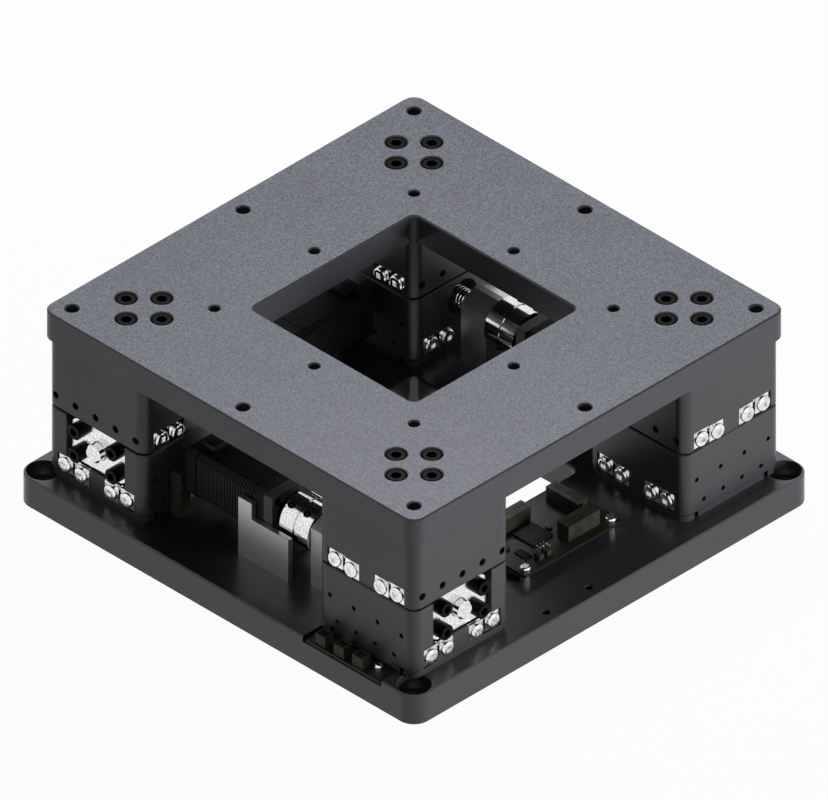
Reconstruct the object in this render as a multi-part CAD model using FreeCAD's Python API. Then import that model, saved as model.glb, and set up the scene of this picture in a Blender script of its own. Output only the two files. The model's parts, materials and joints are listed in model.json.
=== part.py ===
import FreeCAD, Part
import math
import os

# XXY alignment stage: a square table that shifts in X and Y and turns a little about Z.
# Four corner stacks carry it. Each stack is a guide base, a lower block on crossed
# roller rails, an upper block on a second set at right angles, and a pivot bearing
# whose hub is screwed under the table. Three stacks are driven by ball screws.
# Origin: centre of the base's underside. +Z up. The front stack is at +X, -Y.
V = FreeCAD.Vector
UP = V(0, 0, 1)
ALONG_X = V(1, 0, 0)

# Distance between the pivots of neighbouring stacks, millimetres
stack_pitch = 189.5

# Table and base
table_thickness = 17.0
table_corner_radius = 7.5
base_overhang = 9.0
base_thickness = 18.0
base_corner_radius = 10.0
window_margin = 3.25
window_corner_radius = 4.0
edge_chamfer = 0.8

# Holes of the table
outer_hole_inset = 11.0
outer_hole_radius = 3.4
inner_hole_offset = 12.5
inner_hole_radius = 2.75
mouth_chamfer = 0.6
hub_screw_circle = 25.0
head_clearance = 0.5
shank_clearance = 0.3

# Holes of the base
foot_inset = 10.0
foot_hole_radius = 5.5
foot_counterbore_radius = 8.8
foot_counterbore_depth = 11.0
edge_tap_radius = 2.1
edge_tap_depth = 10.0
edge_tap_inset = 7.4
edge_tap_pitch = 30.0
edge_tap_first_y = -40.0
edge_tap_count = 2

# Corner stacks
block_side = 68.0
block_radius = 6.0
block_inset = 2.25
block_chamfer = 0.5
guide_plate_thickness = 3.2
guide_plate_margin = 1.0
guide_hole_reach = 24.4
slide_gap = 1.3
lower_block_height = 36.0
upper_block_height = 38.9
table_gap = 0.8

# Crossed roller rails, four per slide
rail_height = 11.0
rail_width = 10.7
rail_length = 64.0
rail_lift = 0.9
rib_half_width = 5.0
rail_split = 0.6
rib_root = 1.0
groove_depth = 3.0
roller_diameter = 4.2
roller_pitch = 5.0
roller_count = 9
stop_plate_side = 9.6
stop_plate_thickness = 1.0
stop_head_radius = 4.3
stop_head_height = 2.2
stop_head_round = 0.6
stop_socket_side = 1.6
stop_socket_depth = 1.2

# Small holes in the blocks
rail_screw_hole_radius = 2.1
rail_screw_pitch = 14.0
rail_screw_count = 5
rail_screw_rise = 7.0
side_hole_radius = 1.4
side_hole_depth = 5.0
side_hole_pitch = 16.7
side_hole_count = 4
side_hole_rise = 19.1
low_hole_pitch = 13.3

# Pivot bearing and hub
bearing_outer_radius = 25.0
bearing_inner_radius = 16.5
bearing_split_radius = 20.0
bearing_split = 0.5
bearing_width = 13.0
bearing_floor = 19.0
bearing_groove = 1.6
hub_flange_radius = 20.0
hub_tail = 3.0
hub_fit = 0.05
hub_lead_in = 1.0
bore_clearance = 1.0

# Ball screw drives
screw_axis_rise = 24.3
screw_radius = 5.0
screw_clearance = 0.3
nut_barrel_radius = 10.0
nut_barrel_length = 36.0
nut_flange_width = 38.0
nut_flange_height = 24.4
nut_flange_thickness = 6.0
nut_flange_radius = 5.0
nut_recess = 2.5
nut_pocket_side_gap = 1.5
nut_screw_spread_y = 26.0
nut_screw_spread_z = 14.0
screw_outer_end = 2.5
bearing_block_start = 10.0
bearing_block_length = 17.5
bearing_block_width = 22.0
bearing_block_top = 12.2
bearing_slope_width = 9.1
bearing_slope_height = 5.2
bearing_cap_radius = 8.5
bearing_cap_depth = 1.5
coupling_gap = 0.5
coupling_length = 19.5
coupling_radius = 13.0
coupling_groove = 1.2
mount_gap = 4.0
mount_thickness = 6.0
mount_foot_length = 12.0
motor_side = 28.0
motor_end_gap = 8.75
motor_corner = 3.0
motor_pilot_radius = 11.0
motor_end_cap = 7.0
motor_band_inset = 0.6
shaft_radius = 2.5

# Position plate beside each coupling
flag_plate_thickness = 3.0
flag_plate_gap = 0.5
flag_plate_length = 35.0
flag_plate_setback = 8.8
flag_tall_length = 9.3
flag_tall_height = 34.7
flag_low_height = 25.2

# Upright plug housing behind each motor
post_gap = 0.5
post_block_gap = 1.0
post_side_start = 9.5
post_width = 6.7
post_height = 25.5

# Socket head screws: shank radius, head radius, head height, socket across flats
M6 = (3.0, 5.0, 6.0, 5.0)
M5 = (2.5, 4.25, 5.0, 4.0)
screw_reach = 12.0
nut_screw_reach = 10.0
socket_share = 0.5
head_chamfer = 0.4

# Control board on standoffs, beside the right edge
board_length = 68.0
board_width = 43.0
board_thickness = 1.6
board_corner_radius = 1.0
board_edge_inset = 51.5
board_centre_y = 2.0
board_hole_inset = 4.0
standoff_height = 5.0
standoff_radius = 2.6
board_hole_radius = 1.6
board_screw_radius = 1.5
connector_wall = 1.2
chip_limit = 5.0
board_screw_head_radius = 3.0
board_screw_head_height = 2.4
board_screw_head_round = 1.2
board_screw_grip = 5.0
board_tap_depth = 10.0
hollow_share = 0.5

# Socket board let into the left edge of the base
edge_board_length = 52.0
edge_board_width = 12.5
edge_pocket_depth = 3.2
edge_pocket_margin = 1.5
edge_board_shift = 5.45
edge_socket_size = (7.0, 6.0, 6.5)
edge_socket_pitch = 13.0
edge_socket_count = 3
socket_wall = 0.9
edge_screw_spread = 26.5
edge_screw_inset = 3.4
edge_screw_shift = 3.5
edge_socket_shift = 4.0
edge_socket_inset = 1.0
edge_screw_head_radius = 2.4
edge_screw_grip = 2.5
edge_screw_tap_depth = 5.0

# Sides, heights and places that follow from the sizes above
stack_offset = stack_pitch / 2
table_side = stack_pitch + block_side + 2 * block_inset
base_side = table_side + 2 * base_overhang
window_side = stack_pitch - block_side - 2 * window_margin
outer_pattern = table_side - 2 * outer_hole_inset
inner_pattern = window_side + 2 * inner_hole_offset
foot_pattern = base_side - 2 * foot_inset
board_centre_x = base_side / 2 - board_edge_inset
edge_board_centre_x = stack_offset - edge_board_shift
guide_seat = base_thickness + guide_plate_thickness
lower_bottom = guide_seat + slide_gap
lower_top = lower_bottom + lower_block_height
upper_bottom = lower_top + slide_gap
upper_top = upper_bottom + upper_block_height
table_bottom = upper_top + table_gap
table_top = table_bottom + table_thickness
screw_axis_z = guide_seat + screw_axis_rise
slide_ceiling = rail_height + rail_lift
fixed_rail_end = rib_half_width + rail_width
moving_rail_start = fixed_rail_end + rail_split
channel_half_width = moving_rail_start + rail_width
half_block = block_side / 2
coupling_start = half_block + bearing_block_start + bearing_block_length + coupling_gap
mount_start = coupling_start + coupling_length + mount_gap
motor_start = mount_start + mount_thickness
motor_end = stack_pitch - half_block - motor_end_gap
flag_plate_start = coupling_start + flag_plate_setback
flag_plate_offset = motor_side / 2 + flag_plate_gap

# Name, place signs, turn of the driven side, and whether a ball screw drives it
STACKS = (
    ("left", -1, -1, 90.0, True),
    ("front", 1, -1, 180.0, True),
    ("right", 1, 1, -90.0, False),
    ("back", -1, 1, 0.0, True),
)


def placed(shape, sign_x, sign_y, turn):
    """Move a shape from a stack's own frame to its corner of the stage."""
    copy = shape.copy()
    copy.rotate(V(0, 0, 0), UP, turn)
    copy.translate(V(sign_x * stack_offset, sign_y * stack_offset, 0))
    return copy


def spread(count, pitch):
    """Places of a row of equal steps, centred on zero."""
    return [(i - (count - 1) / 2) * pitch for i in range(count)]


def box(x_low, x_high, y_low, y_high, z_low, z_high):
    return Part.makeBox(x_high - x_low, y_high - y_low, z_high - z_low, V(x_low, y_low, z_low))


def round_block(length, width, z_low, z_high, radius):
    """Upright block centred on Z with rounded corners."""
    block = box(-length / 2, length / 2, -width / 2, width / 2, z_low, z_high)
    upright = [e for e in block.Edges if e.BoundBox.ZLength > (z_high - z_low) / 2]
    return block.makeFillet(radius, upright)


def chamfer_level(shape, level, size):
    """Chamfer every edge that lies in the horizontal plane at a level."""
    flat = [e for e in shape.Edges
            if abs(e.BoundBox.ZMin - level) < 1e-4 and abs(e.BoundBox.ZMax - level) < 1e-4]
    return shape.makeChamfer(size, flat)


def rod(radius, start, length, axis=UP):
    return Part.makeCylinder(radius, length, start, axis)


def mouth_hole(x, y, top, radius, depth):
    """Round hole down from a level, with a small chamfer at its mouth."""
    body = rod(radius, V(x, y, top - depth), depth)
    cone = Part.makeCone(radius, radius + mouth_chamfer, mouth_chamfer, V(x, y, top - mouth_chamfer))
    return body.fuse(cone)


def hexagon(flats, depth):
    """Hexagonal prism from z 0 down, for a screw's socket."""
    reach = flats / math.sqrt(3)
    points = [V(reach * math.cos(math.radians(60 * i)), reach * math.sin(math.radians(60 * i)), 0)
              for i in range(7)]
    return Part.Face(Part.makePolygon(points)).extrude(V(0, 0, -depth))


def socket_screw(size, reach):
    """Socket head screw with its head's seat at the origin and its shank down."""
    shank_radius, head_radius, head_height, flats = size
    head = rod(head_radius, V(0, 0, 0), head_height)
    head = chamfer_level(head, head_height, head_chamfer)
    socket = hexagon(flats, head_height * socket_share)
    socket.translate(V(0, 0, head_height))
    return head.cut(socket).fuse(rod(shank_radius, V(0, 0, -reach), reach)).removeSplitter()


def in_ring(radius, count, start=0.0):
    """Points on a circle."""
    turns = [math.radians(start + 360.0 * i / count) for i in range(count)]
    return [(radius * math.cos(t), radius * math.sin(t)) for t in turns]


def rail(side, start, seat, groove_level, groove_faces_out):
    """One rail along X on one side of the rib, with its V groove."""
    inner = start
    outer = start + rail_width
    top = seat + rail_height
    if groove_faces_out:
        points = [(inner, seat), (outer, seat), (outer, groove_level - groove_depth),
                  (outer - groove_depth, groove_level), (outer, groove_level + groove_depth),
                  (outer, top), (inner, top), (inner, seat)]
    else:
        points = [(inner, seat), (outer, seat), (outer, top), (inner, top),
                  (inner, groove_level + groove_depth), (inner + groove_depth, groove_level),
                  (inner, groove_level - groove_depth), (inner, seat)]
    outline = Part.makePolygon([V(-rail_length / 2, side * y, z) for y, z in points])
    return Part.Face(outline).extrude(V(rail_length, 0, 0))


def rail_stop(side, middle, level, end):
    """End stop on a rail: a small square plate under a round screw head."""
    half = stop_plate_side / 2
    face = end * rail_length / 2
    outward = V(end, 0, 0)
    y = side * middle
    near, far = sorted((face, face + end * stop_plate_thickness))
    plate = box(near, far, y - half, y + half, level - half, level + half)
    head = rod(stop_head_radius, V(face + end * stop_plate_thickness, y, level), stop_head_height, outward)
    tip = face + end * (stop_plate_thickness + stop_head_height)
    rim = [e for e in head.Edges if abs(e.BoundBox.XMin - tip) < 1e-4 and abs(e.BoundBox.XMax - tip) < 1e-4]
    head = head.makeFillet(stop_head_height * stop_head_round, rim)
    stop = plate.fuse(head).removeSplitter()
    slot_near, slot_far = sorted((tip, tip - end * stop_socket_depth))
    slot = box(slot_near, slot_far, y - stop_socket_side, y + stop_socket_side,
               level - stop_socket_side, level + stop_socket_side)
    return stop.cut(slot)


def slide_rails(seat, moving):
    """Two rails with their end stops for one half of a slide that runs along X."""
    groove_level = seat + slide_ceiling / 2
    start = moving_rail_start if moving else rib_half_width
    rail_seat = seat + rail_lift if moving else seat
    solids = []
    for side in (-1, 1):
        solids.append(rail(side, start, rail_seat, groove_level, not moving))
        for end in (-1, 1):
            solids.append(rail_stop(side, start + rail_width / 2, rail_seat + rail_height / 2, end))
    return solids


def rollers(seat):
    """Crossed rollers of a slide along X, each turned a right angle from the next."""
    level = seat + slide_ceiling / 2
    middle = (fixed_rail_end + moving_rail_start) / 2
    solids = []
    for side in (-1, 1):
        for i, x in enumerate(spread(roller_count, roller_pitch)):
            lean = 1 if i % 2 else -1
            axis = V(0, lean, 1).normalize()
            start = V(x, side * middle, level) - axis * (roller_diameter / 2)
            solids.append(rod(roller_diameter / 2, start, roller_diameter, axis))
    return solids


def turned(solids, turn):
    """Turn a list of solids about Z in the stack's own frame."""
    copies = [s.copy() for s in solids]
    for copy in copies:
        copy.rotate(V(0, 0, 0), UP, turn)
    return copies


def guide_base():
    """Plate screwed to the base, with the rib that holds the fixed rails."""
    side = block_side - 2 * guide_plate_margin
    plate = round_block(side, side, base_thickness, guide_seat, block_radius - guide_plate_margin)
    rib = box(-side / 2, side / 2, -rib_half_width, rib_half_width, guide_seat, guide_seat + rail_height)
    hole_place = channel_half_width + (half_block - channel_half_width) / 2
    body = plate.fuse(rib)
    for x in (-1, 1):
        for y in (-1, 1):
            start = V(x * guide_hole_reach, y * hole_place, base_thickness)
            body = body.cut(rod(M5[0] + shank_clearance, start, guide_plate_thickness))
    return body.removeSplitter()


def lower_block(driven):
    """Block that slides on the guide base and carries the upper slide's rib."""
    block = round_block(block_side, block_side, lower_bottom, lower_top, block_radius)
    block = chamfer_level(block, lower_top, block_chamfer)
    rib_end = half_block - guide_plate_margin
    rib = box(-rib_half_width, rib_half_width, -rib_end, rib_end,
              lower_top - rib_root, lower_top + rail_height)
    block = block.fuse(rib)
    channel = box(-half_block, half_block, -channel_half_width, channel_half_width,
                  lower_bottom, guide_seat + slide_ceiling)
    block = block.cut(channel)
    if driven:
        pocket_half = nut_flange_width / 2 + nut_pocket_side_gap
        pocket_floor = half_block - nut_recess - nut_flange_thickness
        pocket = box(-half_block, -pocket_floor, -pocket_half, pocket_half,
                     guide_seat + slide_ceiling, lower_top)
        bore = rod(nut_barrel_radius + screw_clearance, V(-half_block, 0, screw_axis_z), block_side, ALONG_X)
        block = block.cut(pocket).cut(bore)
        for y in (-1, 1):
            for z in (-1, 1):
                level = screw_axis_z + z * nut_screw_spread_z / 2
                start = V(-pocket_floor, y * nut_screw_spread_y / 2, level)
                block = block.cut(rod(M5[0] + hub_fit, start, nut_screw_reach, ALONG_X))
    wall = half_block - channel_half_width
    rail_level = guide_seat + rail_lift + rail_height / 2
    for face in (-1, 1):
        inward = V(0, -face, 0)
        for x in spread(side_hole_count, side_hole_pitch):
            start = V(x, face * half_block, lower_bottom + side_hole_rise)
            block = block.cut(rod(side_hole_radius, start, side_hole_depth, inward))
        for x in spread(side_hole_count, low_hole_pitch):
            block = block.cut(rod(side_hole_radius, V(x, face * half_block, rail_level), wall, inward))
    return block.removeSplitter()


def upper_block():
    """Block on the cross slide, with the pivot bearing's seat in its top."""
    block = round_block(block_side, block_side, upper_bottom, upper_top, block_radius)
    block = chamfer_level(block, upper_bottom, block_chamfer)
    channel = box(-channel_half_width, channel_half_width, -half_block, half_block,
                  upper_bottom, lower_top + slide_ceiling)
    seat = upper_bottom + bearing_floor
    block = block.cut(channel)
    block = block.cut(rod(bearing_outer_radius, V(0, 0, seat), upper_top - seat))
    relief = bearing_split_radius - bore_clearance
    block = block.cut(rod(relief, V(0, 0, seat - hub_tail - bore_clearance), hub_tail + bore_clearance))
    wall = half_block - channel_half_width
    for face in (-1, 1):
        for y in spread(rail_screw_count, rail_screw_pitch):
            start = V(face * half_block, y, upper_bottom + rail_screw_rise)
            block = block.cut(rod(rail_screw_hole_radius, start, wall, V(-face, 0, 0)))
    return block.removeSplitter()


def ring_section(inner, outer, low, high, groove_at_outer):
    """Bearing ring by a revolved section with a V groove in its running face."""
    middle = (low + high) / 2
    if groove_at_outer:
        points = [(inner, low), (outer, low), (outer, middle - bearing_groove),
                  (outer - bearing_groove, middle), (outer, middle + bearing_groove),
                  (outer, high), (inner, high), (inner, low)]
    else:
        points = [(inner, low), (outer, low), (outer, high), (inner, high),
                  (inner, middle + bearing_groove), (inner + bearing_groove, middle),
                  (inner, middle - bearing_groove), (inner, low)]
    outline = Part.makePolygon([V(r, 0, z) for r, z in points])
    return Part.Face(outline).revolve(V(0, 0, 0), UP, 360)


def bearing_outer_ring():
    low = upper_bottom + bearing_floor
    inner = bearing_split_radius + bearing_split / 2
    return ring_section(inner, bearing_outer_radius, low, low + bearing_width, False)


def pivot_hub():
    """Hub that turns in the bearing and holds the table, with the inner ring on it."""
    low = upper_bottom + bearing_floor
    high = low + bearing_width
    inner_ring = ring_section(bearing_inner_radius, bearing_split_radius - bearing_split / 2, low, high, True)
    stem = rod(bearing_inner_radius, V(0, 0, low - hub_tail), high - low + hub_tail)
    stem = chamfer_level(stem, low - hub_tail, hub_lead_in)
    flange = rod(hub_flange_radius, V(0, 0, high), table_bottom - high)
    hub = stem.fuse(flange)
    for x, y in in_ring(hub_screw_circle / 2, 4):
        depth = screw_reach + hub_lead_in
        hub = hub.cut(rod(M6[0] + hub_fit, V(x, y, table_bottom - depth), depth))
    return [hub.removeSplitter(), inner_ring]


def table_plate():
    """Square table with a window, two hole patterns and the hub screws' counterbores."""
    plate = round_block(table_side, table_side, table_bottom, table_top, table_corner_radius)
    plate = plate.cut(round_block(window_side, window_side, table_bottom, table_top, window_corner_radius))
    plate = chamfer_level(plate, table_top, edge_chamfer)
    plate = chamfer_level(plate, table_bottom, edge_chamfer)
    patterns = ((outer_pattern, outer_hole_radius), (inner_pattern, inner_hole_radius))
    for side, radius in patterns:
        for x, y in square_points(side):
            plate = plate.cut(mouth_hole(x, y, table_top, radius, table_thickness))
    head_depth = M6[2] + head_clearance
    for sign_x in (-1, 1):
        for sign_y in (-1, 1):
            for dx, dy in in_ring(hub_screw_circle / 2, 4):
                x = sign_x * stack_offset + dx
                y = sign_y * stack_offset + dy
                plate = plate.cut(mouth_hole(x, y, table_top, M6[1] + head_clearance, head_depth))
                plate = plate.cut(rod(M6[0] + shank_clearance, V(x, y, table_bottom), table_thickness))
    return plate


def square_points(side):
    """Eight places round a square: its corners and the middles of its sides."""
    half = side / 2
    return [(i * half, j * half) for i in (-1, 0, 1) for j in (-1, 0, 1) if i or j]


def table_screws():
    """Sixteen screws that hold the table to the four hubs."""
    seat = table_top - M6[2] - head_clearance
    screw = socket_screw(M6, seat - table_bottom + screw_reach)
    solids = []
    for sign_x in (-1, 1):
        for sign_y in (-1, 1):
            for dx, dy in in_ring(hub_screw_circle / 2, 4):
                copy = screw.copy()
                copy.translate(V(sign_x * stack_offset + dx, sign_y * stack_offset + dy, seat))
                solids.append(copy)
    return solids


def board_holes():
    """Screw places of the control board."""
    reach_x = board_width / 2 - board_hole_inset
    reach_y = board_length / 2 - board_hole_inset
    return [(board_centre_x + i * reach_x, board_centre_y + j * reach_y) for i in (-1, 1) for j in (-1, 1)]


def edge_board_floor():
    return base_thickness - edge_pocket_depth


def edge_screw_places():
    y = -base_side / 2 + edge_board_width - edge_screw_inset
    return [(edge_board_centre_x + edge_screw_shift + dx, y) for dx in spread(2, edge_screw_spread)]


def base_plate():
    """Square base with a window, four counterbored corner holes and the socket board's pocket."""
    plate = round_block(base_side, base_side, 0, base_thickness, base_corner_radius)
    plate = plate.cut(round_block(window_side, window_side, 0, base_thickness, window_corner_radius))
    plate = chamfer_level(plate, base_thickness, edge_chamfer)
    plate = chamfer_level(plate, 0, edge_chamfer)
    for sign_x in (-1, 1):
        for sign_y in (-1, 1):
            x = sign_x * foot_pattern / 2
            y = sign_y * foot_pattern / 2
            plate = plate.cut(rod(foot_hole_radius, V(x, y, 0), base_thickness))
            start = V(x, y, base_thickness - foot_counterbore_depth)
            plate = plate.cut(rod(foot_counterbore_radius, start, foot_counterbore_depth))
    for i in range(edge_tap_count):
        y = edge_tap_first_y + i * edge_tap_pitch
        start = V(base_side / 2 - edge_tap_inset, y, base_thickness - edge_tap_depth)
        plate = plate.cut(rod(edge_tap_radius, start, edge_tap_depth))
    half = edge_board_length / 2 + edge_pocket_margin
    pocket = box(edge_board_centre_x - half, edge_board_centre_x + half, -base_side / 2,
                 -base_side / 2 + edge_board_width + edge_pocket_margin, edge_board_floor(), base_thickness)
    plate = plate.cut(pocket)
    for x, y in board_holes():
        plate = plate.cut(rod(board_screw_radius, V(x, y, base_thickness - board_tap_depth), board_tap_depth))
    for x, y in edge_screw_places():
        start = V(x, y, edge_board_floor() - edge_screw_tap_depth)
        plate = plate.cut(rod(board_screw_radius, start, edge_screw_tap_depth))
    return plate


def ball_nut():
    """Flanged nut let into the driven face of the lower block."""
    front = -half_block + nut_recess
    flange = box(front, front + nut_flange_thickness, -nut_flange_width / 2, nut_flange_width / 2,
                 screw_axis_z - nut_flange_height / 2, screw_axis_z + nut_flange_height / 2)
    along = [e for e in flange.Edges if e.BoundBox.XLength > nut_flange_thickness / 2]
    flange = flange.makeFillet(nut_flange_radius, along)
    barrel_start = V(front + nut_flange_thickness, 0, screw_axis_z)
    barrel = rod(nut_barrel_radius, barrel_start, nut_barrel_length, ALONG_X)
    nut = flange.fuse(barrel)
    nut = nut.cut(rod(screw_radius + screw_clearance, V(-half_block, 0, screw_axis_z), block_side, ALONG_X))
    for y in (-1, 1):
        for z in (-1, 1):
            start = V(front, y * nut_screw_spread_y / 2, screw_axis_z + z * nut_screw_spread_z / 2)
            nut = nut.cut(rod(M5[0] + shank_clearance, start, nut_flange_thickness, ALONG_X))
    return nut.removeSplitter()


def nut_screws():
    """Four screws that hold the nut's flange."""
    screw = socket_screw(M5, nut_flange_thickness + nut_screw_reach)
    screw.rotate(V(0, 0, 0), V(0, 1, 0), -90)
    solids = []
    for y in (-1, 1):
        for z in (-1, 1):
            copy = screw.copy()
            copy.translate(V(-half_block + nut_recess, y * nut_screw_spread_y / 2,
                             screw_axis_z + z * nut_screw_spread_z / 2))
            solids.append(copy)
    return solids


def ball_screw():
    """Ball screw with its coupling, which joins it to the motor's shaft."""
    start = -half_block - screw_outer_end
    screw = rod(screw_radius, V(start, 0, screw_axis_z), coupling_start - start, ALONG_X)
    tip = [e for e in screw.Edges if abs(e.CenterOfMass.x - start) < 1e-4 and len(e.Vertexes) == 1]
    screw = screw.makeChamfer(hub_lead_in, tip)
    coupling = rod(coupling_radius, V(coupling_start, 0, screw_axis_z), coupling_length, ALONG_X)
    groove = V(coupling_start + (coupling_length - coupling_groove) / 2, 0, screw_axis_z)
    ring = rod(coupling_radius, groove, coupling_groove, ALONG_X)
    ring = ring.cut(rod(coupling_radius - coupling_groove, groove, coupling_groove, ALONG_X))
    coupling = coupling.cut(ring)
    stub = rod(shaft_radius, V(coupling_start + coupling_length, 0, screw_axis_z), mount_gap / 2, ALONG_X)
    return [screw, coupling.fuse(stub).removeSplitter()]


def screw_bearing():
    """Fixed bearing block that holds the ball screw beside the coupling, with a sloped top."""
    start = half_block + bearing_block_start
    half = bearing_block_width / 2
    top = screw_axis_z + bearing_block_top
    points = [(-half, base_thickness), (half, base_thickness), (half, top - bearing_slope_height),
              (half - bearing_slope_width, top), (bearing_slope_width - half, top),
              (-half, top - bearing_slope_height), (-half, base_thickness)]
    outline = Part.makePolygon([V(start, y, z) for y, z in points])
    block = Part.Face(outline).extrude(V(bearing_block_length, 0, 0))
    centre = V(start, 0, screw_axis_z)
    block = block.cut(rod(screw_radius + screw_clearance, centre, bearing_block_length, ALONG_X))
    return block.cut(rod(bearing_cap_radius, centre, bearing_cap_depth, ALONG_X))


def motor_mount():
    """Upright plate on the base that carries the motor."""
    half = motor_side / 2
    plate = box(mount_start, mount_start + mount_thickness, -half, half, base_thickness, screw_axis_z + half)
    foot = box(motor_start, motor_start + mount_foot_length, -half, half,
               base_thickness, base_thickness + mount_thickness)
    plate = plate.fuse(foot)
    plate = plate.cut(rod(motor_pilot_radius, V(mount_start, 0, screw_axis_z), mount_thickness, ALONG_X))
    return plate.removeSplitter()


def motor_block(x_low, x_high, side):
    half = side / 2
    block = box(x_low, x_high, -half, half, screw_axis_z - half, screw_axis_z + half)
    along = [e for e in block.Edges if e.BoundBox.XLength > (x_high - x_low) / 2]
    return block.makeChamfer(motor_corner, along)


def motor():
    """Small square motor: two end caps with a slimmer stack between them."""
    end = motor_end
    body = motor_block(motor_start, motor_start + motor_end_cap, motor_side)
    middle_side = motor_side - 2 * motor_band_inset
    body = body.fuse(motor_block(motor_start + motor_end_cap, end - motor_end_cap, middle_side))
    body = body.fuse(motor_block(end - motor_end_cap, end, motor_side))
    pilot = rod(motor_pilot_radius - hub_fit, V(motor_start - mount_thickness / 2, 0, screw_axis_z),
                mount_thickness / 2, ALONG_X)
    shaft_reach = motor_start - mount_start + mount_gap / 2
    shaft = rod(shaft_radius, V(motor_start - shaft_reach, 0, screw_axis_z), shaft_reach, ALONG_X)
    return body.fuse(pilot).fuse(shaft).removeSplitter()


def flag_plate():
    """L-shaped plate on the base beside the coupling, on the stage's outer side."""
    end = flag_plate_start + flag_plate_length
    points = [(flag_plate_start, 0), (end, 0), (end, flag_tall_height),
              (end - flag_tall_length, flag_tall_height), (end - flag_tall_length, flag_low_height),
              (flag_plate_start, flag_low_height), (flag_plate_start, 0)]
    outline = Part.makePolygon([V(x, flag_plate_offset, base_thickness + z) for x, z in points])
    return Part.Face(outline).extrude(V(0, flag_plate_thickness, 0))


def plug_post():
    """Upright plug housing on the base, between a motor's rear and the next stack."""
    start = motor_end + post_gap
    end = motor_end + motor_end_gap - post_block_gap
    return box(start, end, post_side_start, post_side_start + post_width,
               base_thickness, base_thickness + post_height)


def control_board():
    """Board with its three connectors and chip, on four standoffs."""
    level = base_thickness + standoff_height
    board = round_block(board_width, board_length, level, level + board_thickness, board_corner_radius)
    board.translate(V(board_centre_x, board_centre_y, 0))
    for x, y in board_holes():
        board = board.cut(rod(board_hole_radius, V(x, y, level), board_thickness))
    return board


def standoffs():
    """Hexagonal standoffs between the base and the board."""
    solids = []
    for x, y in board_holes():
        post = rod(standoff_radius, V(x, y, base_thickness), standoff_height)
        solids.append(post.cut(rod(board_hole_radius, V(x, y, base_thickness), standoff_height)))
    return solids


# Connectors on the control board: centre from the board's centre, then length, width, height
CONNECTORS = (
    (12.0, 13.0, 8.0, 22.0, 9.0),
    (-14.0, -12.0, 7.0, 28.0, 9.0),
    (-6.0, 22.5, 22.0, 7.0, 9.0),
    (0.0, -7.0, 14.0, 14.0, 1.4),
)


def board_connectors():
    """Plug housings and the chip on the control board."""
    level = base_thickness + standoff_height + board_thickness
    solids = []
    for dx, dy, length, width, height in CONNECTORS:
        x = board_centre_x + dx
        y = board_centre_y + dy
        body = box(x - length / 2, x + length / 2, y - width / 2, y + width / 2, level, level + height)
        if height > chip_limit:
            wall = connector_wall
            body = body.cut(box(x - length / 2 + wall, x + length / 2 - wall, y - width / 2 + wall,
                                y + width / 2 - wall, level + height * hollow_share, level + height))
        solids.append(body)
    return solids


def pan_screw(x, y, seat, head_radius, reach):
    """Pan head screw for the boards."""
    head = rod(head_radius, V(x, y, seat), board_screw_head_height)
    rim = [e for e in head.Edges if abs(e.BoundBox.ZMin - seat - board_screw_head_height) < 1e-4]
    head = head.makeFillet(board_screw_head_round, rim)
    return head.fuse(rod(board_screw_radius, V(x, y, seat - reach), reach)).removeSplitter()


def board_screws():
    """Screws of both boards."""
    level = base_thickness + standoff_height + board_thickness
    reach = board_thickness + standoff_height + board_screw_grip
    solids = [pan_screw(x, y, level, board_screw_head_radius, reach) for x, y in board_holes()]
    edge_seat = edge_board_floor() + board_thickness
    edge_reach = board_thickness + edge_screw_grip
    for x, y in edge_screw_places():
        solids.append(pan_screw(x, y, edge_seat, edge_screw_head_radius, edge_reach))
    return solids


def edge_board():
    """Narrow board in the base's pocket."""
    half = edge_board_length / 2
    start = -base_side / 2 + edge_chamfer
    board = box(edge_board_centre_x - half, edge_board_centre_x + half, start, start + edge_board_width,
                edge_board_floor(), edge_board_floor() + board_thickness)
    for x, y in edge_screw_places():
        board = board.cut(rod(board_hole_radius, V(x, y, edge_board_floor()), board_thickness))
    return board


def edge_sockets():
    """Three small sockets on the narrow board."""
    length, width, height = edge_socket_size
    level = edge_board_floor() + board_thickness
    y = -base_side / 2 + edge_chamfer + edge_socket_inset
    wall = socket_wall
    solids = []
    for dx in spread(edge_socket_count, edge_socket_pitch):
        x = edge_board_centre_x - edge_socket_shift + dx
        body = box(x - length / 2, x + length / 2, y, y + width, level, level + height)
        solids.append(body.cut(box(x - length / 2 + wall, x + length / 2 - wall, y + wall, y + width - wall,
                                   level + height * hollow_share, level + height)))
    return solids


def save(name, solids):
    """Write one node's STEP file."""
    shape = solids[0] if len(solids) == 1 else Part.makeCompound(solids)
    if not shape.isValid():
        print("not valid:", name)
    shape.exportStep(os.path.join("parts", name + ".step"))
    print(f"{name}: {len(shape.Solids)} solids, {shape.Volume / 1000:.2f} cm3")


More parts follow.
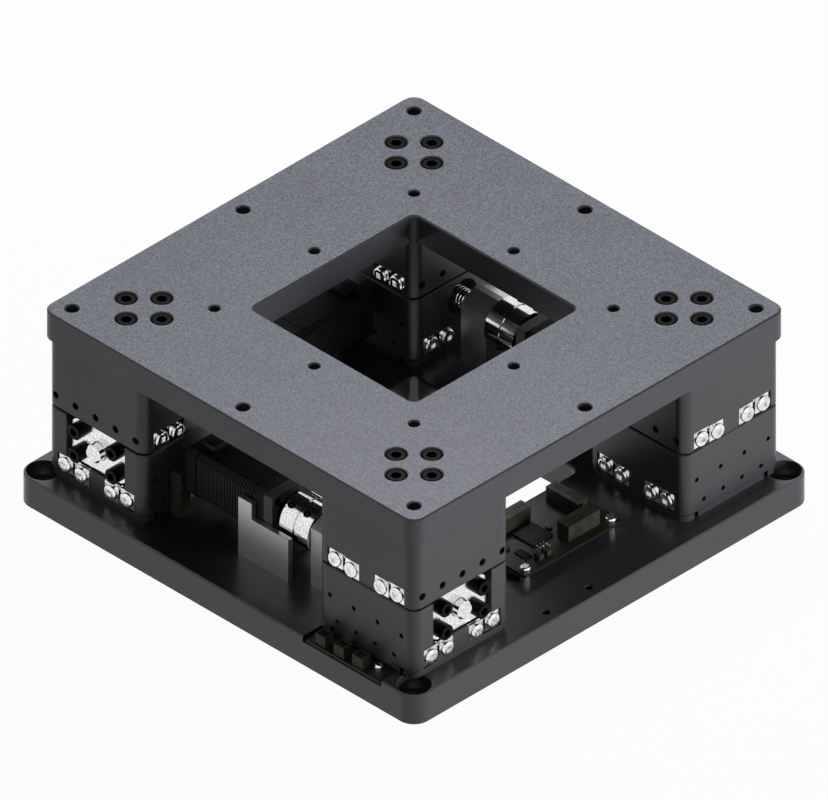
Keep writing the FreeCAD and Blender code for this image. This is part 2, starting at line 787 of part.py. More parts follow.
def build():
    os.makedirs("parts", exist_ok=True)
    save("base_plate", [base_plate()])
    save("table_plate", [table_plate()])
    save("table_screws", table_screws())
    flags = []
    posts = []
    for name, sign_x, sign_y, turn, driven in STACKS:
        def here(solids):
            return [placed(s, sign_x, sign_y, turn) for s in solids]
        save("guide_base_" + name, here([guide_base()]))
        save("base_rails_" + name, here(slide_rails(guide_seat, False) + rollers(guide_seat)))
        save("lower_block_" + name, here([lower_block(driven)]))
        cross_fixed = turned(slide_rails(lower_top, False) + rollers(lower_top), 90)
        save("lower_rails_" + name, here(slide_rails(guide_seat, True) + cross_fixed))
        save("upper_block_" + name, here([upper_block()]))
        save("upper_rails_" + name, here(turned(slide_rails(lower_top, True), 90)))
        save("bearing_ring_" + name, here([bearing_outer_ring()]))
        save("pivot_hub_" + name, here(pivot_hub()))
        if driven:
            save("ball_nut_" + name, here([ball_nut()]))
            save("nut_screws_" + name, here(nut_screws()))
            save("ball_screw_" + name, here(ball_screw()))
            save("screw_bearing_" + name, here([screw_bearing()]))
            save("motor_mount_" + name, here([motor_mount()]))
            save("motor_" + name, here([motor()]))
            flags += here([flag_plate()])
            posts += here([plug_post()])
    save("position_plates", flags)
    save("control_board", [control_board()])
    save("standoffs", standoffs())
    save("board_connectors", board_connectors() + posts)
    save("board_screws", board_screws())
    save("edge_board", [edge_board()])
    save("edge_sockets", edge_sockets())


build()
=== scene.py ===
# Looks of an XXY alignment stage: black anodised blocks and plates, bright ground rails,
# nickel stops, black socket screws, ball screws, small motors and two dark circuit boards.
import json
import math

import bmesh
import bpy
from mathutils import Matrix, Vector


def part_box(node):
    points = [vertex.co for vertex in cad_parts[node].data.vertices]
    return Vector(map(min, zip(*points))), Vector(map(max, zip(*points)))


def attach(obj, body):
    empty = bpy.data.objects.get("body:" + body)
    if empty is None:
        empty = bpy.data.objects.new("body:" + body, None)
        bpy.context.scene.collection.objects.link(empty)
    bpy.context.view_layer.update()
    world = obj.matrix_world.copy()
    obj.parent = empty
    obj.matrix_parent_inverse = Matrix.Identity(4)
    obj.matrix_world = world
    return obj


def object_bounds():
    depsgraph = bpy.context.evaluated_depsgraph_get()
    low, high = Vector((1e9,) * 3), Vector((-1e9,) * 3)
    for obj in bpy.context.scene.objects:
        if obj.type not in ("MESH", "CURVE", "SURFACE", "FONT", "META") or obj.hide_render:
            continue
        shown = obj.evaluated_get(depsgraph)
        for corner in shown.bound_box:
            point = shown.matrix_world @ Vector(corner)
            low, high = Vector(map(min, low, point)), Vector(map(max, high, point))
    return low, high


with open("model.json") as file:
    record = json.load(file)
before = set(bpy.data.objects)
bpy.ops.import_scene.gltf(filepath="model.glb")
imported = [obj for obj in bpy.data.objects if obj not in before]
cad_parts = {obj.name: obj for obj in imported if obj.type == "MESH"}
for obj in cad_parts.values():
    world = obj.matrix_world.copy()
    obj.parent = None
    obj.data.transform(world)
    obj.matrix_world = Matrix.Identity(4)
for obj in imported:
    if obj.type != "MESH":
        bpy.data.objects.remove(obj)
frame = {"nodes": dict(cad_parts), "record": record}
cad_low, cad_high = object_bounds()

MM = 0.001
LEFT, FRONT, RIGHT, BACK = "left", "front", "right", "back"
STACKS = (LEFT, FRONT, RIGHT, BACK)
DRIVEN = (LEFT, FRONT, BACK)
UP = Vector((0, 0, 1))

# The way each drive runs, from its nut to its motor
DRIVE_WAYS = {LEFT: Vector((0, 1, 0)), FRONT: Vector((-1, 0, 0)), BACK: Vector((1, 0, 0))}

# How the photograph looks at the stage: an isometric view, so its scale is the same everywhere
PHOTO_WIDTH = 828
PHOTO_HEIGHT = 800
PHOTO_PIXELS_PER_MM = 2.0153
VIEW_TURN = math.radians(45.0)
VIEW_RISE = math.asin(math.tan(math.radians(30.0)))
PHOTO_AXIS_ROW = 308.2
CAMERA_DISTANCE = 1.6

# Light: what the room itself gives, the share of the floor that glows as a white backdrop,
# and each lamp's place, width, power and colour
ROOM_FILL = 0.012
FLOOR_GLOW = 0.96
LAMP_AIM = Vector((0, 0, 0.06))
LAMPS = (("lamp_behind", (-0.39, 0.39, 1.24), 0.55, 14.5, "#F2F3FF"),
         ("lamp_right", (1.27, 0.42, 0.29), 0.36, 8.0, "#FFFFFF"))

# How far a face points up where its colour changes: a plate's top grain, and the painted shade on its
# chamfer
TOP_RISE = (0.85, 0.95)
CHAMFER_RISE = 0.707
CHAMFER_SPREAD = 0.13
CHAMFER_PAINTED_SHADE = "#020202"

# How an edge pales, partly as rubbed wear and partly as a painted highlight: the turn of the surface across
# it, and the most that it takes
EDGE_WEAR_AND_HIGHLIGHT_TURN = (0.995, 0.86)
EDGE_WEAR_AND_HIGHLIGHT_SHARE = 0.3

# Things on the control board, in mm from its middle
# Plug blocks: place, length and width
PLUG_BLOCKS = ((12.0, 13.0, 8.0, 22.0), (-14.0, -12.0, 7.0, 28.0), (-6.0, 22.5, 22.0, 7.0))
PLUG_BLOCK_HEIGHT = 9.0
# Chips: place, width, depth, height and legs on each side
CHIPS = ((0.0, -7.0, 14.3, 14.3, 1.6, 16), (2.5, 14.0, 6.0, 4.4, 1.2, 7), (8.0, -22.0, 8.0, 5.0, 1.2, 8))
# Small blocks: place, width, depth and height
SMALL_BLOCKS = ((15.5, -13.0, 4.6, 3.4, 3.2), (15.5, -18.5, 4.6, 3.4, 3.2),
                (-3.0, -24.5, 5.4, 3.6, 2.8), (1.0, 3.0, 3.2, 2.4, 1.6))


def linear(hex_colour):
    """sRGB hex to the linear colour that a shader takes."""
    channels = [int(hex_colour[i:i + 2], 16) / 255 for i in (1, 3, 5)]
    return [c / 12.92 if c <= 0.04045 else ((c + 0.055) / 1.055) ** 2.4 for c in channels] + [1.0]


def add(tree, kind, values=None, links=None, **settings):
    """A node with its own settings, its inputs' values and the outputs that feed its inputs."""
    node = tree.nodes.new(kind)
    for name, value in settings.items():
        setattr(node, name, value)
    for name, value in (values or {}).items():
        node.inputs[name].default_value = value
    for name, source in (links or {}).items():
        tree.links.new(source, node.inputs[name])
    return node


def blank_material(name):
    """An empty material with its output and the object coordinates."""
    material = bpy.data.materials.new(name)
    material.use_nodes = True
    tree = material.node_tree
    tree.nodes.clear()
    output = add(tree, "ShaderNodeOutputMaterial")
    place = add(tree, "ShaderNodeTexCoord").outputs["Object"]
    return material, tree, output, place


def ramp(tree, source, stops):
    """Colour ramp from (place, hex colour) stops."""
    node = add(tree, "ShaderNodeValToRGB", links={"Fac": source})
    while len(node.color_ramp.elements) < len(stops):
        node.color_ramp.elements.new(0.5)
    for element, (position, colour) in zip(node.color_ramp.elements, stops):
        element.position = position
        element.color = linear(colour)
    return node.outputs["Color"]


def spread_range(tree, source, low, high):
    """Maps a 0 to 1 pattern on to a range."""
    values = {"To Min": low, "To Max": high}
    return add(tree, "ShaderNodeMapRange", values=values, links={"Value": source}).outputs[0]


def noise(tree, place, size_mm, detail=2.0, roughness=0.5):
    """Noise whose patches are about a size in millimetres."""
    values = {"Scale": 1.0 / (size_mm * MM), "Detail": detail, "Roughness": roughness}
    return add(tree, "ShaderNodeTexNoise", values=values, links={"Vector": place}).outputs["Fac"]


def face_rise(tree):
    """How far a face points up: 1 on a top, 0.71 on a chamfer and 0 on a side."""
    normal = add(tree, "ShaderNodeTexCoord").outputs["Normal"]
    return add(tree, "ShaderNodeSeparateXYZ", links={"Vector": normal}).outputs["Z"]


def blend(tree, share, first, second):
    """Mixes two colours, each a link or a hex colour."""
    mix = add(tree, "ShaderNodeMix", links={"Factor": share}, data_type="RGBA")
    for name, colour in (("A", first), ("B", second)):
        socket = [i for i in mix.inputs if i.name == name and i.type == "RGBA"][0]
        if isinstance(colour, str):
            socket.default_value = linear(colour)
        else:
            tree.links.new(colour, socket)
    return [o for o in mix.outputs if o.type == "RGBA"][0]


def anodised(name, dark, pale, edge, grain_mm, roughness, edge_mm=0.45, top_grain_and_chamfer_shade=None):
    """Black anodised milled aluminium: a fine blasted grain, faint clouding of the dye, and
    edges painted a little paler, partly as rubbed wear and partly as a painted highlight.
    The oxide is clear and hard, so it shines softly. A plate ground on top shows a sparkle
    there, drawn about twice its real size, and its upward chamfers get a painted near-black shade."""
    material, tree, output, place = blank_material(name)
    grain = noise(tree, place, grain_mm, 3.0, 0.7)
    cloud = noise(tree, place, 42.0, 3.0, 0.55)
    grain_colour = ramp(tree, grain, ((0.3, dark), (0.7, pale)))
    if top_grain_and_chamfer_shade:
        rise = face_rise(tree)
        on_top = add(tree, "ShaderNodeMapRange", values={"From Min": TOP_RISE[0], "From Max": TOP_RISE[1]},
                     links={"Value": rise})
        sparkle = ramp(tree, noise(tree, place, grain_mm, 1.0, 0.5),
                       ((0.32, top_grain_and_chamfer_shade[0]), (0.68, top_grain_and_chamfer_shade[1])))
        grain_colour = blend(tree, on_top.outputs[0], grain_colour, sparkle)
        # Painted shade: chamfers that face about 45 degrees up are coloured near black
        chamfer = add(tree, "ShaderNodeMath", values={1: CHAMFER_RISE, 2: CHAMFER_SPREAD}, links={0: rise},
                      operation="COMPARE")
        grain_colour = blend(tree, chamfer.outputs[0], grain_colour, CHAMFER_PAINTED_SHADE)
    cloud_share = spread_range(tree, cloud, 0.9, 1.08)
    toned = add(tree, "ShaderNodeVectorMath", links={0: grain_colour, "Scale": cloud_share},
                operation="SCALE")
    bevel = add(tree, "ShaderNodeBevel", values={"Radius": edge_mm * MM}, samples=4)
    geometry = add(tree, "ShaderNodeNewGeometry")
    turn = add(tree, "ShaderNodeVectorMath", links={0: bevel.outputs[0], 1: geometry.outputs["Normal"]},
               operation="DOT_PRODUCT")
    # Edges painted paler: partly rubbed wear, partly a painted highlight
    wear_and_highlight = add(tree, "ShaderNodeMapRange", values={"From Min": EDGE_WEAR_AND_HIGHLIGHT_TURN[0], "From Max": EDGE_WEAR_AND_HIGHLIGHT_TURN[1],
                                                   "To Min": 0.0, "To Max": EDGE_WEAR_AND_HIGHLIGHT_SHARE},
               links={"Value": turn.outputs["Value"]})
    colour = blend(tree, wear_and_highlight.outputs[0], toned.outputs[0], edge)
    bump = add(tree, "ShaderNodeBump", values={"Strength": 0.22, "Distance": 0.05 * MM},
               links={"Height": grain, "Normal": bevel.outputs[0]})
    shader = add(tree, "ShaderNodeBsdfPrincipled", values={"IOR": 1.5},
                 links={"Normal": bump.outputs[0],
                        "Roughness": spread_range(tree, cloud, roughness - 0.05, roughness + 0.07)})
    tree.links.new(colour, shader.inputs["Base Color"])
    tree.links.new(shader.outputs[0], output.inputs["Surface"])
    return material


def metal(name, dark, pale, roughness, streak_mm, bump_strength, stretch=(1.0, 1.0, 1.0)):
    """Bare or plated metal, ground or turned: fine streaks along the tool's path, with the
    sparkle of a bright surface that mirrors a pale room."""
    material, tree, output, place = blank_material(name)
    mapping = add(tree, "ShaderNodeMapping", values={"Scale": stretch}, links={"Vector": place})
    streaks = noise(tree, mapping.outputs[0], streak_mm, 4.0, 0.65)
    colour = ramp(tree, streaks, ((0.3, dark), (0.62, pale)))
    bump = add(tree, "ShaderNodeBump", values={"Strength": bump_strength, "Distance": 0.08 * MM},
               links={"Height": streaks})
    shader = add(tree, "ShaderNodeBsdfPrincipled", values={"Metallic": 1.0},
                 links={"Base Color": colour, "Normal": bump.outputs[0],
                        "Roughness": spread_range(tree, streaks, roughness * 1.5, roughness * 0.7)})
    tree.links.new(shader.outputs[0], output.inputs["Surface"])
    return material


def moulded(name, dark, pale, roughness, grain_mm=0.35, gloss=0.5):
    """Moulded or painted matt surface: a slight orange-peel grain and a little clouding."""
    material, tree, output, place = blank_material(name)
    grain = noise(tree, place, grain_mm, 3.0)
    cloud = noise(tree, place, 7.0, 2.0)
    colour = ramp(tree, cloud, ((0.35, dark), (0.68, pale)))
    bump = add(tree, "ShaderNodeBump", values={"Strength": 0.3, "Distance": 0.06 * MM},
               links={"Height": grain})
    shader = add(tree, "ShaderNodeBsdfPrincipled", values={"IOR": 1.5, "Specular IOR Level": gloss},
                 links={"Base Color": colour, "Normal": bump.outputs[0],
                        "Roughness": spread_range(tree, grain, roughness - 0.06, roughness + 0.08)})
    tree.links.new(shader.outputs[0], output.inputs["Surface"])
    return material


def solder_mask(name, mask, track):
    """Circuit board: glossy dark olive lacquer over raised copper tracks."""
    material, tree, output, place = blank_material(name)
    values = {"Scale": 1.0 / (3.2 * MM), "Mortar Size": 0.05, "Mortar Smooth": 0.2, "Bias": 0.0,
              "Brick Width": 0.9, "Row Height": 0.22}
    tracks = add(tree, "ShaderNodeTexBrick", values=values, links={"Vector": place}, offset=0.37)
    share = add(tree, "ShaderNodeMath", links={0: tracks.outputs["Fac"], 1: noise(tree, place, 5.0)},
                operation="MULTIPLY")
    colour = ramp(tree, share.outputs[0], ((0.1, mask), (0.5, track)))
    bump = add(tree, "ShaderNodeBump", values={"Strength": 0.35, "Distance": 0.05 * MM},
               links={"Height": tracks.outputs["Fac"]})
    shader = add(tree, "ShaderNodeBsdfPrincipled",
                 values={"IOR": 1.5, "Roughness": 0.42, "Specular IOR Level": 0.35},
                 links={"Base Color": colour, "Normal": bump.outputs[0]})
    tree.links.new(shader.outputs[0], output.inputs["Surface"])
    return material


# Black anodised aluminium: slate grey under the lamps, sparkling where the plate is ground, with a painted
# near-black shade on the table's upward chamfers
TABLE_ANODISED = anodised("black_anodised_table", "#484A4F", "#55575D", "#5C5E64", 0.7, 0.4, 0.12,
                          ("#28292D", "#72747D"))
BLOCK_ANODISED = anodised("black_anodised_blocks", "#47484C", "#525357", "#7E8088", 0.8, 0.42)
# The base is smoother, so it mirrors the bright stops that stand on it
BASE_ANODISED = anodised("black_anodised_base", "#444549", "#4F5054", "#84868E", 0.8, 0.27)
# Plated stops and flanges: glitter of white and black specks
NICKEL = metal("bright_nickel_plate", "#B4B5B6", "#FFFFFE", 0.08, 0.8, 0.7)
# Ground rings and hubs, and the tinned legs of the chips: a calm sheen with fine streaks
GROUND_STEEL = metal("ground_bearing_steel", "#B4B5B7", "#E2E3E4", 0.16, 0.5, 0.3, (1.0, 1.0, 6.0))
# Turned screws and couplings: nearly a mirror
TURNED_STEEL = metal("turned_screw_steel", "#B4B5B6", "#F6F6F5", 0.035, 0.7, 0.25)
# Clear anodised plates and brackets: soft and pale grey
CLEAR_ALUMINIUM = metal("clear_anodised_aluminium", "#A6A7A9", "#C4C5C6", 0.34, 0.5, 0.15)
# Socket screws: oiled black oxide with a dull shine
BLACK_OXIDE = metal("black_oxide_screws", "#050505", "#0E0E0F", 0.36, 0.5, 0.3)
# Contacts of the edge board's sockets: gold plate
GOLD_PLATE = metal("gold_plated_pins", "#B08A3A", "#E3BE6C", 0.25, 0.3, 0.2)
# Motor caps: matt black paint, and between them rolled plates with a dark oxide
MOTOR_BLACK = moulded("painted_motor_black", "#09090A", "#111113", 0.55, gloss=0.15)
LAMINATION_STEEL = moulded("oxidised_motor_laminations", "#0B0B0C", "#161618", 0.5, 0.6, gloss=0.2)
# Plug blocks and posts: moulded plastic, a dull olive grey with a coarse grain
CONNECTOR_PLASTIC = moulded("moulded_connector_plastic", "#2B2B23", "#45443A", 0.6, 0.9, gloss=0.3)
SOCKET_BLACK = moulded("moulded_socket_black", "#0A0A0B", "#141415", 0.5, gloss=0.3)
POST_PLASTIC = moulded("moulded_post_plastic", "#3E3F34", "#4C4D40", 0.55, gloss=0.3)
# Chips: matt black epoxy
CHIP_EPOXY = moulded("chip_epoxy", "#060606", "#0E0E0E", 0.6, 0.2, gloss=0.2)
# Boards: dark olive lacquer with paler tracks below it
BOARD = solder_mask("dark_olive_solder_mask", "#1B1B14", "#2A2A20")

MATERIALS = {
    "anodised_table": TABLE_ANODISED,
    "anodised_base": BASE_ANODISED,
    "anodised_block": BLOCK_ANODISED,
    "bright_steel": NICKEL,
    "black_screws": BLACK_OXIDE,
    "light_plate": CLEAR_ALUMINIUM,
    "motor_body": MOTOR_BLACK,
    "board": BOARD,
    "connector": CONNECTOR_PLASTIC,
}


def finish_nodes():
    """Gives each CAD node the material of its slot, with a few of their own."""
    own = {"ball_screw_" + name: TURNED_STEEL for name in DRIVEN}
    own.update({"bearing_ring_" + name: GROUND_STEEL for name in STACKS})
    own.update({"pivot_hub_" + name: GROUND_STEEL for name in STACKS})
    for part in frame["record"]["subparts"]:
        node = frame["nodes"][part["node"]]
        node.data.materials.clear()
        node.data.materials.append(own.get(part["node"], MATERIALS[part["material_slot"]]))


def piece(name, mesh, material, body):
    """Makes a mesh into a finished piece that rides on a body."""
    bmesh.ops.remove_doubles(mesh, verts=mesh.verts, dist=1e-6)
    bmesh.ops.recalc_face_normals(mesh, faces=mesh.faces)
    data = bpy.data.meshes.new(name)
    mesh.to_mesh(data)
    mesh.free()
    data.materials.append(material)
    data.shade_smooth()
    data.set_sharp_from_angle(angle=math.radians(35))
    thing = bpy.data.objects.new(name, data)
    bpy.context.scene.collection.objects.link(thing)
    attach(thing, body)


def add_box(mesh, low, high, ease=0.0):
    """Adds a box from its corners, with eased edges."""
    low, high = Vector(low), Vector(high)
    size = high - low
    matrix = Matrix.Translation((low + high) / 2) @ Matrix.Diagonal((*size, 1.0))
    made = bmesh.ops.create_cube(mesh, size=1.0, matrix=matrix)
    if ease:
        edges = list({e for v in made["verts"] for e in v.link_edges})
        bmesh.ops.bevel(mesh, geom=edges, offset=ease, segments=2, profile=0.5, affect="EDGES", material=-1)
    return made["verts"]


def drive_axis(name):
    """A point on a drive's axis beside its stack's centre, the way it runs, and outwards."""
    block_low, block_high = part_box("upper_block_" + name)
    screw_low, screw_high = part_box("ball_screw_" + name)
    centre = (block_low + block_high) / 2
    centre.z = (screw_low.z + screw_high.z) / 2
    along = DRIVE_WAYS[name]
    return centre, along, UP.cross(along)


def reach_of(node, centre, along):
    """How near and how far a node reaches along a drive."""
    low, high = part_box(node)
    return sorted(((low - centre).dot(along), (high - centre).dot(along)))


def ball_screw_threads():
    """Rolled ball thread: one round ridge wound along each screw's bare stretch."""
    screw_radius = 5.0 * MM
    lead = 2.0 * MM
    ridge = 0.45 * MM
    sunk_share = 0.35
    end_gap = 1.0 * MM
    steps = 20
    for name in DRIVEN:
        along = DRIVE_WAYS[name]
        out = UP.cross(along)
        low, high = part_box("ball_screw_" + name)
        middle = (low + high) / 2
        start = reach_of("ball_nut_" + name, middle, along)[1] + end_gap
        end = reach_of("screw_bearing_" + name, middle, along)[0] - end_gap
        turns = int((end - start) / lead)
        mesh = bmesh.new()
        first = middle + along * start + out * (screw_radius - ridge * sunk_share)
        facing = along.cross(out).to_track_quat("Z", "Y").to_matrix().to_4x4()
        made = bmesh.ops.create_circle(mesh, cap_ends=False, segments=8, radius=ridge,
                                       matrix=Matrix.Translation(first) @ facing)
        bmesh.ops.spin(mesh, geom=made["verts"] + mesh.edges[:], cent=middle, axis=along,
                       dvec=along * (lead / steps), angle=math.tau * turns, steps=steps * turns,
                       use_merge=False)
        bmesh.ops.holes_fill(mesh, edges=[e for e in mesh.edges if e.is_boundary], sides=8)
        piece("ball_screw_thread_" + name, mesh, TURNED_STEEL, name + "_screw")


def add_block(mesh, centre, along, out, half, ease=0.0):
    """Adds a box about a centre from its half sizes along a drive, outwards and up."""
    reaches = (along * half[0], out * half[1], UP * half[2])
    reach = Vector([max(abs(r[i]) for r in reaches) for i in range(3)])
    return add_box(mesh, centre - reach, centre + reach, ease)


def add_cap_screw(mesh, place, direction, radius, height):
    """Adds a cap screw's head that rises from a place: a lifted face with a sunk socket."""
    rim, lift, land, wall = radius * 0.12, radius * 0.08, radius * 0.36, radius * 0.03
    socket_depth = height * 0.7
    turn = direction.to_track_quat("Z", "Y").to_matrix().to_4x4()
    middle = place + direction * (height / 2)
    made = bmesh.ops.create_cone(mesh, cap_ends=True, segments=24, radius1=radius, radius2=radius,
                                 depth=height, matrix=Matrix.Translation(middle) @ turn)
    faces = {f for v in made["verts"] for f in v.link_faces}
    top = max(faces, key=lambda f: f.normal.dot(direction))
    bmesh.ops.inset_region(mesh, faces=[top], thickness=rim, depth=0.0)
    bmesh.ops.translate(mesh, verts=top.verts, vec=direction * lift)
    bmesh.ops.inset_region(mesh, faces=[top], thickness=land, depth=0.0)
    bmesh.ops.inset_region(mesh, faces=[top], thickness=wall, depth=-socket_depth)


def coupling_screws():
    """Clamp screws in both ends of each coupling, on opposite flanks."""
    coupling_radius = 13.0 * MM
    places_from_end = (5.0 * MM, 16.0 * MM)
    flank_turns = (35, 215)
    head_radius, head_height, head_sunk = 1.9 * MM, 1.1 * MM, 0.5 * MM
    for name in DRIVEN:
        centre, along, out = drive_axis(name)
        coupling_end = reach_of("ball_screw_" + name, centre, along)[1]
        mesh = bmesh.new()
        for back in places_from_end:
            for turn in flank_turns:
                flank = out * math.sin(math.radians(turn)) + UP * math.cos(math.radians(turn))
                place = centre + along * (coupling_end - back) + flank * (coupling_radius - head_sunk)
                add_cap_screw(mesh, place, flank, head_radius, head_height)
        piece("coupling_clamp_screws_" + name, mesh, BLACK_OXIDE, name + "_screw")


def motor_details():
    """Laminated stack, corner screws at both ends and a plug socket on each motor."""
    half_side = 14.0 * MM
    corner = half_side * 0.74
    cap_length, mount_thickness = 7.0 * MM, 6.0 * MM
    rear_head, front_head = (1.7 * MM, 1.0 * MM), (1.9 * MM, 1.2 * MM)
    socket_back, socket_rise, socket_ease = 8.5 * MM, 1.4 * MM, 0.4 * MM
    socket_half = (4.6 * MM, 6.5 * MM, 1.8 * MM)
    plate_pitch, plate_corner = 1.9 * MM, 3.0 * MM
    plate_half = (0.55 * MM, 13.7 * MM, 13.7 * MM)
    for name in DRIVEN:
        centre, along, out = drive_axis(name)
        rear = reach_of("motor_" + name, centre, along)[1]
        front = reach_of("motor_mount_" + name, centre, along)[0]
        mesh = bmesh.new()
        for side in (-1, 1):
            for rise in (-1, 1):
                spot = centre + out * (side * corner) + UP * (rise * corner)
                add_cap_screw(mesh, spot + along * rear, along, *rear_head)
                add_cap_screw(mesh, spot + along * front, -along, *front_head)
        piece("motor_corner_screws_" + name, mesh, BLACK_OXIDE, "base")
        mesh = bmesh.new()
        spot = centre + along * (rear - socket_back) + UP * (half_side + socket_rise)
        add_block(mesh, spot, along, out, socket_half, socket_ease)
        piece("motor_socket_" + name, mesh, SOCKET_BLACK, "base")
        mesh = bmesh.new()
        stack_length = rear - front - mount_thickness - 2 * cap_length
        middle = rear - cap_length - stack_length / 2
        plates = int(stack_length / plate_pitch) - 1
        for step in range(plates):
            spot = centre + along * (middle + (step - (plates - 1) / 2) * plate_pitch)
            verts = add_block(mesh, spot, along, out, plate_half)
            corners = [e for e in {e for v in verts for e in v.link_edges}
                       if abs((e.verts[0].co - e.verts[1].co).dot(along)) > plate_half[0]]
            bmesh.ops.bevel(mesh, geom=corners, offset=plate_corner, segments=1, profile=0.5,
                            affect="EDGES", material=-1)
        piece("motor_laminations_" + name, mesh, LAMINATION_STEEL, "base")


def post_details():
    """Ribs up the outer face of each plug post and the contacts in its top."""
    behind_motor = 4.125 * MM
    rib_out, first_rib, rib_pitch, ribs_each = 16.2 * MM, 4.0 * MM, 4.3 * MM, 5
    rib_half, rib_ease = (2.9 * MM, 0.3 * MM, 0.8 * MM), 0.15 * MM
    contact_out, contact_pitch, contact_height = 12.85 * MM, 1.9 * MM, 25.7 * MM
    contact_half, contact_ease = (1.2 * MM, 0.5 * MM, 0.4 * MM), 0.1 * MM
    for name in DRIVEN:
        centre, along, out = drive_axis(name)
        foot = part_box("guide_base_" + name)[0].z
        middle = centre + along * (reach_of("motor_" + name, centre, along)[1] + behind_motor)
        ribs = bmesh.new()
        for step in range(ribs_each):
            spot = middle + out * rib_out
            spot.z = foot + first_rib + step * rib_pitch
            add_block(ribs, spot, along, out, rib_half, rib_ease)
        piece("plug_post_ribs_" + name, ribs, POST_PLASTIC, "base")
        contacts = bmesh.new()
        for step in (-1, 0, 1):
            spot = middle + out * (contact_out + step * contact_pitch)
            spot.z = foot + contact_height
            add_block(contacts, spot, along, out, contact_half, contact_ease)
        piece("plug_post_contacts_" + name, contacts, LAMINATION_STEEL, "base")


def board_top():
    """The middle of the control board's top."""
    low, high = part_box("control_board")
    return Vector(((low.x + high.x) / 2, (low.y + high.y) / 2, high.z))


def plug_inserts():
    """Closed inserts in the plug blocks of the control board, each with a row of contact slots drawn as
    thin black squares of painted shade.
    """
    wall, sunk, half_depth = 1.05, 0.15, 3.0
    contact_pitch = 2.54 * MM
    slot_half = Vector((0.55, 0.55, 0.06)) * MM
    inserts = bmesh.new()
    slot_shades = bmesh.new()
    for dx, dy, length, width in PLUG_BLOCKS:
        half = Vector((length / 2 - wall, width / 2 - wall, half_depth)) * MM
        centre = board_top() + Vector((dx, dy, PLUG_BLOCK_HEIGHT - sunk - half_depth)) * MM
        add_box(inserts, centre - half, centre + half, 0.2 * MM)
        row = Vector((1, 0, 0)) if length > width else Vector((0, 1, 0))
        count = int((max(length, width) - 2 * wall) * MM / contact_pitch)
        for i in range(count):
            spot = centre + row * ((i - (count - 1) / 2) * contact_pitch) + UP * half.z
            # Painted shade: a flat black square stands for each slot's dark opening
            add_box(slot_shades, spot - slot_half, spot + slot_half, 0.02 * MM)
    piece("plug_block_inserts", inserts, CONNECTOR_PLASTIC, "base")
    piece("plug_block_slot_shades", slot_shades, CHIP_EPOXY, "base")


def add_on_board(mesh, dx, dy, width, depth, height, ease=0.0):
    """Adds a part that stands on the control board. Every measure is in millimetres."""
    foot = board_top() + Vector((dx, dy, 0)) * MM
    half = Vector((width / 2, depth / 2, 0)) * MM
    add_box(mesh, foot - half, foot + half + UP * (height * MM), ease * MM)


def board_parts():
    """Small parts soldered to the control board: flat chips with legs and dark blocks."""
    leg_width, leg_length, leg_height, leg_out = 0.32, 1.2, 0.35, 0.35
    chip_margin = 1.0
    small_start, small_pitch, small_count, small_row = (5.5, -11.5), (2.1, 2.3), 12, 4
    chips = bmesh.new()
    legs = bmesh.new()
    for dx, dy, width, depth, height, count in CHIPS:
        add_on_board(chips, dx, dy, width, depth, height, 0.2)
        pitch = (width - chip_margin) / count
        for side in (-1, 1):
            for i in range(count):
                add_on_board(legs, dx + (i - (count - 1) / 2) * pitch, dy + side * (depth / 2 + leg_out),
                             leg_width, leg_length, leg_height)
    for i in range(small_count):
        add_on_board(legs, small_start[0] + small_pitch[0] * (i % small_row),
                     small_start[1] + small_pitch[1] * (i // small_row), 1.0, 0.6, 0.45, 0.08)
    piece("board_chips", chips, CHIP_EPOXY, "base")
    piece("board_solder_legs", legs, GROUND_STEEL, "base")
    blocks = bmesh.new()
    for dx, dy, width, depth, height in SMALL_BLOCKS:
        add_on_board(blocks, dx, dy, width, depth, height, 0.35)
    piece("board_small_blocks", blocks, CONNECTOR_PLASTIC, "base")


def edge_socket_pins():
    """Contacts that stand in the three small sockets of the edge board."""
    low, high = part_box("edge_sockets")
    first_socket, socket_pitch, contact_pitch = 3.5 * MM, 13.0 * MM, 1.6 * MM
    foot_rise, head_drop = 3.2 * MM, 0.8 * MM
    half = Vector((0.25, 0.25, 0)) * MM
    middle = (low.y + high.y) / 2
    pins = bmesh.new()
    for i in range(3):
        for side in (-1, 0, 1):
            x = low.x + first_socket + i * socket_pitch + side * contact_pitch
            foot = Vector((x, middle, low.z + foot_rise))
            head = Vector((x, middle, high.z - head_drop))
            add_box(pins, foot - half, head + half, 0.08 * MM)
    piece("edge_socket_pins", pins, GOLD_PLATE, "base")


def seen_directly(tree):
    """1 where the camera or a reflection sees a surface, and 0 for the light that it sends on."""
    paths = add(tree, "ShaderNodeLightPath")
    rays = {0: paths.outputs["Is Camera Ray"], 1: paths.outputs["Is Glossy Ray"]}
    return add(tree, "ShaderNodeMath", links=rays, operation="MAXIMUM").outputs[0]


def pale_floor():
    """White paper floor that shows behind the stage and keeps a faint shadow."""
    mesh = bmesh.new()
    bmesh.ops.create_grid(mesh, x_segments=1, y_segments=1, size=3.0)
    data = bpy.data.meshes.new("floor")
    mesh.to_mesh(data)
    mesh.free()
    floor = bpy.data.objects.new("floor", data)
    bpy.context.scene.collection.objects.link(floor)
    material, tree, output, _place = blank_material("white_paper_floor")
    seen = seen_directly(tree)
    share = add(tree, "ShaderNodeMath", values={1: FLOOR_GLOW}, links={0: seen}, operation="MULTIPLY")
    colour = ramp(tree, seen, ((0.0, "#3A3A3A"), (1.0, "#D8D8D8")))
    paper = add(tree, "ShaderNodeBsdfDiffuse", links={"Color": colour})
    glow = add(tree, "ShaderNodeEmission", values={"Color": linear("#FFFFFF"), "Strength": 1.0})
    mix = add(tree, "ShaderNodeMixShader",
              links={0: share.outputs[0], 1: paper.outputs[0], 2: glow.outputs[0]})
    tree.links.new(mix.outputs[0], output.inputs["Surface"])
    data.materials.append(material)


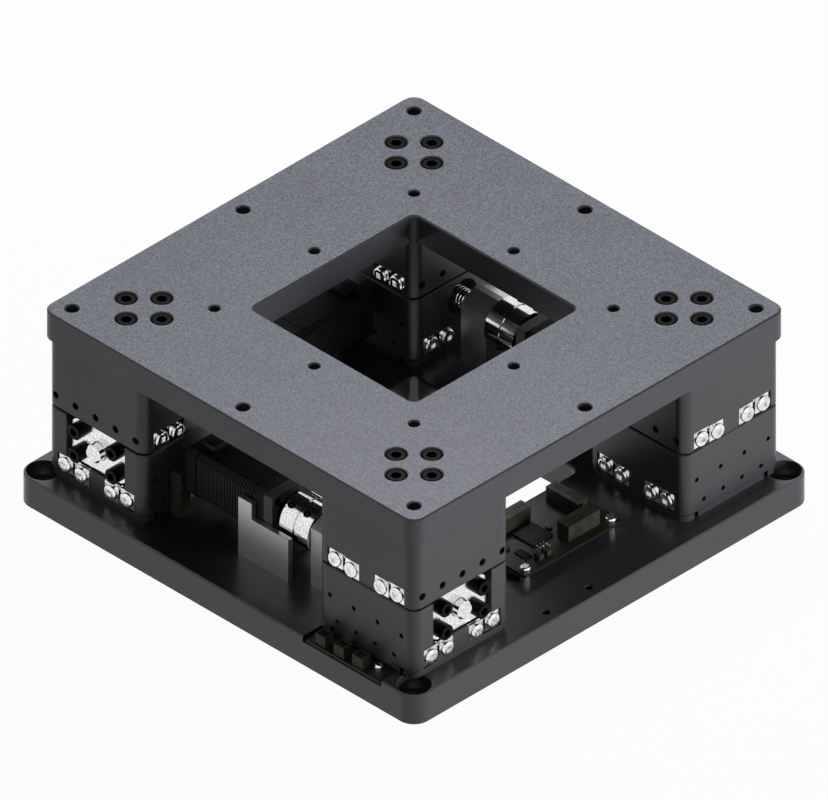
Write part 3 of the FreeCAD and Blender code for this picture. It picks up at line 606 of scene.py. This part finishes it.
def pale_room():
    """White room that the camera and the bright metal see, with little light of its own."""
    world = bpy.data.worlds.new("pale_room")
    bpy.context.scene.world = world
    world.use_nodes = True
    tree = world.node_tree
    tree.nodes.clear()
    output = add(tree, "ShaderNodeOutputWorld")
    strength = spread_range(tree, seen_directly(tree), ROOM_FILL, 1.0)
    room = add(tree, "ShaderNodeBackground", values={"Color": linear("#FFFFFF")},
               links={"Strength": strength})
    tree.links.new(room.outputs[0], output.inputs["Surface"])


def soft_lamps():
    """A broad cool lamp high behind the stage and a low one on its right."""
    for name, place, size, power, colour in LAMPS:
        lamp = bpy.data.lights.new(name, "AREA")
        lamp.shape = "DISK"
        lamp.size = size
        lamp.energy = power
        lamp.color = linear(colour)[:3]
        thing = bpy.data.objects.new(name, lamp)
        thing.location = place
        thing.rotation_mode = "QUATERNION"
        thing.rotation_quaternion = (LAMP_AIM - Vector(place)).to_track_quat("-Z", "Y")
        bpy.context.scene.collection.objects.link(thing)


def photo_camera():
    """Parallel camera at the photograph's isometric angle and scale."""
    camera = bpy.data.cameras.new("photo_camera")
    camera.type = "ORTHO"
    camera.ortho_scale = PHOTO_WIDTH / PHOTO_PIXELS_PER_MM * MM
    rows_per_mm = PHOTO_PIXELS_PER_MM * math.cos(VIEW_RISE)
    drop = (PHOTO_HEIGHT / 2 - PHOTO_AXIS_ROW) / rows_per_mm * MM
    target = Vector((0, 0, cad_high.z - drop))
    flat = math.cos(VIEW_RISE)
    back = Vector((math.sin(VIEW_TURN) * flat, -math.cos(VIEW_TURN) * flat, math.sin(VIEW_RISE)))
    thing = bpy.data.objects.new("photo_camera", camera)
    thing.location = target + back * CAMERA_DISTANCE
    thing.rotation_mode = "QUATERNION"
    thing.rotation_quaternion = (-back).to_track_quat("-Z", "Y")
    bpy.context.scene.collection.objects.link(thing)
    bpy.context.scene.camera = thing


photo_camera()
pale_floor()
pale_room()
soft_lamps()
finish_nodes()
ball_screw_threads()
coupling_screws()
motor_details()
post_details()
board_parts()
plug_inserts()
edge_socket_pins()

bpy.context.scene.view_settings.view_transform = "Standard"
